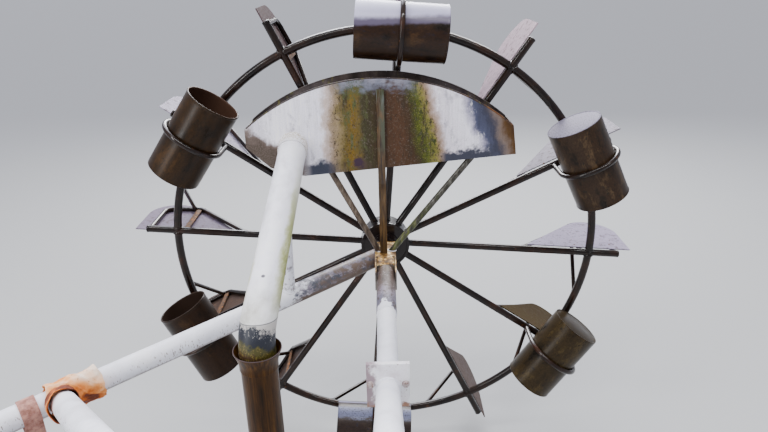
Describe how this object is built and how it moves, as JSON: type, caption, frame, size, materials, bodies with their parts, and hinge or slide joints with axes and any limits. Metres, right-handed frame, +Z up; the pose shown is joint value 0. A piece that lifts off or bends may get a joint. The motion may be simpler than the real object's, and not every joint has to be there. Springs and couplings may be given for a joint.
{
  "type": "water wheel",
  "caption": "Undershot water-lifting wheel with buckets and paddles on a tubular bank frame, with a catch trough, a sloping drain pipe and a standpipe.",
  "frame": {"origin": "where the inclined beam's axis meets the back face of the bank plate, in that face", "axes": "+X right as seen from the bank, +Y away from the bank along the wheel's axle, +Z up"},
  "size_m": [2.688, 2.305, 2.4492],
  "materials": {
    "plate_steel": "grey painted steel plate, weathered",
    "white_tube": "white painted steel tube, stained",
    "stained_steel": "old paint under dirt and moss",
    "dark_steel": "bare steel, rusted dark and wet",
    "wet_sheet": "bare steel sheet, wet",
    "rusty_sheet": "orange-brown rust",
    "trough_sheet": "sheet steel with limescale and moss",
    "pale_plastic": "pale drain-pipe plastic, stained",
    "brown_plastic": "plastic pipe with brown mineral stain"
  },
  "bodies": {
    "frame": {"bank_plate": "plate_steel", "near_beam": "white_tube", "joint_plates": "white_tube", "far_beam": "white_tube", "beam_sleeve": "stained_steel", "head_bracket": "stained_steel", "axle": "dark_steel", "axle_cap": "dark_steel", "side_brace": "white_tube", "brace_flange": "white_tube", "stay_pipe": "white_tube", "lashing_sheet": "rusty_sheet", "hanging_strap": "rusty_sheet", "trough_front": "trough_sheet", "trough_back": "trough_sheet", "trough_floor": "trough_sheet", "trough_post": "stained_steel", "struts": "stained_steel", "outlet_collar": "pale_plastic", "outlet_pipe": "pale_plastic", "outlet_elbow": "pale_plastic", "pipe_prop": "white_tube", "standpipe_funnel": "brown_plastic", "standpipe": "brown_plastic"},
    "wheel": {"hub_drum": "dark_steel", "hub_boss": "dark_steel", "spokes": "dark_steel", "rim": "dark_steel", "bucket_1": "wet_sheet", "bucket_2": "wet_sheet", "bucket_3": "wet_sheet", "bucket_4": "wet_sheet", "bucket_5": "wet_sheet", "bucket_6": "wet_sheet", "bucket_bottoms": "wet_sheet", "bail_1": "dark_steel", "bail_2": "dark_steel", "bail_3": "dark_steel", "bail_4": "dark_steel", "bail_5": "dark_steel", "bail_6": "dark_steel", "paddles": "wet_sheet", "paddle_frames": "dark_steel", "paddle_ribs": "rusty_sheet", "paddle_braces": "dark_steel"}
  },
  "joints": [
    {"name": "wheel_spin", "type": "hinge", "parent": "frame", "child": "wheel", "pos_m": [0, 1.95, -0.38], "axis": [0, 1, 0], "continuous": true}
  ]
}
